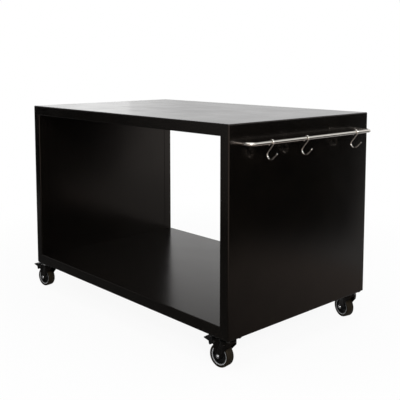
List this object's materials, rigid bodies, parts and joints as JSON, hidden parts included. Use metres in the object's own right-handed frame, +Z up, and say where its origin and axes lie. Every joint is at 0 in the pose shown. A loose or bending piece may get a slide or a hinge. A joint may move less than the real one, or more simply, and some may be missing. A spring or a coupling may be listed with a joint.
{
  "type": "outdoor pizza oven table",
  "caption": "Open-fronted black sheet-metal table of double-skinned panels on swivel casters, with a storage shelf and a side rail for hanging tools.",
  "frame": {"origin": "on the floor, under the middle of the carcass (rail, hooks and pedals left out)", "axes": "+X to the right along the table's length as seen from its front, +Y to the back, +Z up"},
  "size_m": [1.3243, 0.74, 0.805],
  "materials": {
    "powder_coat_black": "satin powder coat",
    "caster_paint_black": "satin paint",
    "stainless_bar": "fine brushed, nearly bright",
    "stainless_wire": "bright",
    "zinc_plated_steel": "bright zinc",
    "black_oxide_steel": "black oxide",
    "galvanised_sheet": "dull galvanised",
    "axle_steel": "bright zinc",
    "wheel_plastic_black": "moulded",
    "rim_plastic_grey": "moulded",
    "tread_rubber": "smooth rubber",
    "pedal_plastic_black": "moulded"
  },
  "bodies": {
    "carcass": {"worktop_pan": "powder_coat_black", "worktop_liner": "powder_coat_black", "shelf_pan": "powder_coat_black", "shelf_liner": "powder_coat_black", "left_side_pan": "powder_coat_black", "left_side_liner": "powder_coat_black", "right_side_pan": "powder_coat_black", "right_side_liner": "powder_coat_black", "worktop_stiffeners": "galvanised_sheet", "shelf_stiffeners": "galvanised_sheet", "left_side_stiffeners": "galvanised_sheet", "right_side_stiffeners": "galvanised_sheet", "panel_bolts": "zinc_plated_steel", "panel_nuts": "zinc_plated_steel", "caster_backing_plates": "zinc_plated_steel", "caster_nuts": "zinc_plated_steel", "rail_backing_plates": "zinc_plated_steel", "rail_washers": "zinc_plated_steel", "rail_screws": "zinc_plated_steel", "caster_bolts": "black_oxide_steel", "utensil_rail": "stainless_bar", "caster_front_left_plate": "caster_paint_black", "caster_front_left_kingpin": "zinc_plated_steel", "caster_front_right_plate": "caster_paint_black", "caster_front_right_kingpin": "zinc_plated_steel", "caster_rear_left_plate": "caster_paint_black", "caster_rear_left_kingpin": "zinc_plated_steel", "caster_rear_right_plate": "caster_paint_black", "caster_rear_right_kingpin": "zinc_plated_steel"},
    "swivel_front_left": {"caster_front_left_ball_ring": "zinc_plated_steel", "caster_front_left_fork": "caster_paint_black", "caster_front_left_axle": "axle_steel", "caster_front_left_brake_pin": "black_oxide_steel"},
    "wheel_front_left": {"caster_front_left_wheel_core": "wheel_plastic_black", "caster_front_left_wheel_rim": "rim_plastic_grey", "caster_front_left_tyre": "tread_rubber"},
    "pedal_front_left": {"caster_front_left_brake_pedal": "pedal_plastic_black"},
    "swivel_front_right": {"caster_front_right_ball_ring": "zinc_plated_steel", "caster_front_right_fork": "caster_paint_black", "caster_front_right_axle": "axle_steel", "caster_front_right_brake_pin": "black_oxide_steel"},
    "wheel_front_right": {"caster_front_right_wheel_core": "wheel_plastic_black", "caster_front_right_wheel_rim": "rim_plastic_grey", "caster_front_right_tyre": "tread_rubber"},
    "pedal_front_right": {"caster_front_right_brake_pedal": "pedal_plastic_black"},
    "swivel_rear_left": {"caster_rear_left_ball_ring": "zinc_plated_steel", "caster_rear_left_fork": "caster_paint_black", "caster_rear_left_axle": "axle_steel"},
    "wheel_rear_left": {"caster_rear_left_wheel_core": "wheel_plastic_black", "caster_rear_left_wheel_rim": "rim_plastic_grey", "caster_rear_left_tyre": "tread_rubber"},
    "swivel_rear_right": {"caster_rear_right_ball_ring": "zinc_plated_steel", "caster_rear_right_fork": "caster_paint_black", "caster_rear_right_axle": "axle_steel"},
    "wheel_rear_right": {"caster_rear_right_wheel_core": "wheel_plastic_black", "caster_rear_right_wheel_rim": "rim_plastic_grey", "caster_rear_right_tyre": "tread_rubber"},
    "hook_front": {"hook_front": "stainless_wire"},
    "hook_middle": {"hook_middle": "stainless_wire"},
    "hook_rear": {"hook_rear": "stainless_wire"}
  },
  "joints": [
    {"name": "swivel_front_left", "type": "hinge", "parent": "carcass", "child": "swivel_front_left", "pos_m": [-0.561, -0.331, 0.098], "axis": [0, 0, 1], "continuous": true},
    {"name": "wheel_spin_front_left", "type": "hinge", "parent": "swivel_front_left", "child": "wheel_front_left", "pos_m": [-0.58681, -0.33417, 0.04], "axis": [-0.1219, 0.9925, 0], "continuous": true},
    {"name": "brake_front_left", "type": "hinge", "parent": "swivel_front_left", "child": "pedal_front_left", "pos_m": [-0.60269, -0.33612, 0.0863], "axis": [0.1219, -0.9925, 0], "range_deg": [0, 12]},
    {"name": "swivel_front_right", "type": "hinge", "parent": "carcass", "child": "swivel_front_right", "pos_m": [0.561, -0.331, 0.098], "axis": [0, 0, 1], "continuous": true},
    {"name": "wheel_spin_front_right", "type": "hinge", "parent": "swivel_front_right", "child": "wheel_front_right", "pos_m": [0.53514, -0.33372, 0.04], "axis": [-0.1045, 0.9945, 0], "continuous": true},
    {"name": "brake_front_right", "type": "hinge", "parent": "swivel_front_right", "child": "pedal_front_right", "pos_m": [0.51923, -0.33539, 0.0863], "axis": [0.1045, -0.9945, 0], "range_deg": [0, 12]},
    {"name": "swivel_rear_left", "type": "hinge", "parent": "carcass", "child": "swivel_rear_left", "pos_m": [-0.561, 0.331, 0.098], "axis": [0, 0, 1], "continuous": true},
    {"name": "wheel_spin_rear_left", "type": "hinge", "parent": "swivel_rear_left", "child": "wheel_rear_left", "pos_m": [-0.58668, 0.32693, 0.04], "axis": [-0.1564, 0.9877, 0], "continuous": true},
    {"name": "swivel_rear_right", "type": "hinge", "parent": "carcass", "child": "swivel_rear_right", "pos_m": [0.561, 0.331, 0.098], "axis": [0, 0, 1], "continuous": true},
    {"name": "wheel_spin_rear_right", "type": "hinge", "parent": "swivel_rear_right", "child": "wheel_rear_right", "pos_m": [0.53567, 0.33685, 0.04], "axis": [0.225, 0.9744, 0], "continuous": true},
    {"name": "hook_swing_front", "type": "hinge", "parent": "carcass", "child": "hook_front", "pos_m": [0.65, -0.228, 0.742], "axis": [0, 1, 0], "range_deg": [-75, 40]},
    {"name": "hook_swing_middle", "type": "hinge", "parent": "carcass", "child": "hook_middle", "pos_m": [0.65, -0.054, 0.742], "axis": [0, 1, 0], "range_deg": [-75, 40]},
    {"name": "hook_swing_rear", "type": "hinge", "parent": "carcass", "child": "hook_rear", "pos_m": [0.65, 0.224, 0.742], "axis": [0, 1, 0], "range_deg": [-75, 40]}
  ]
}
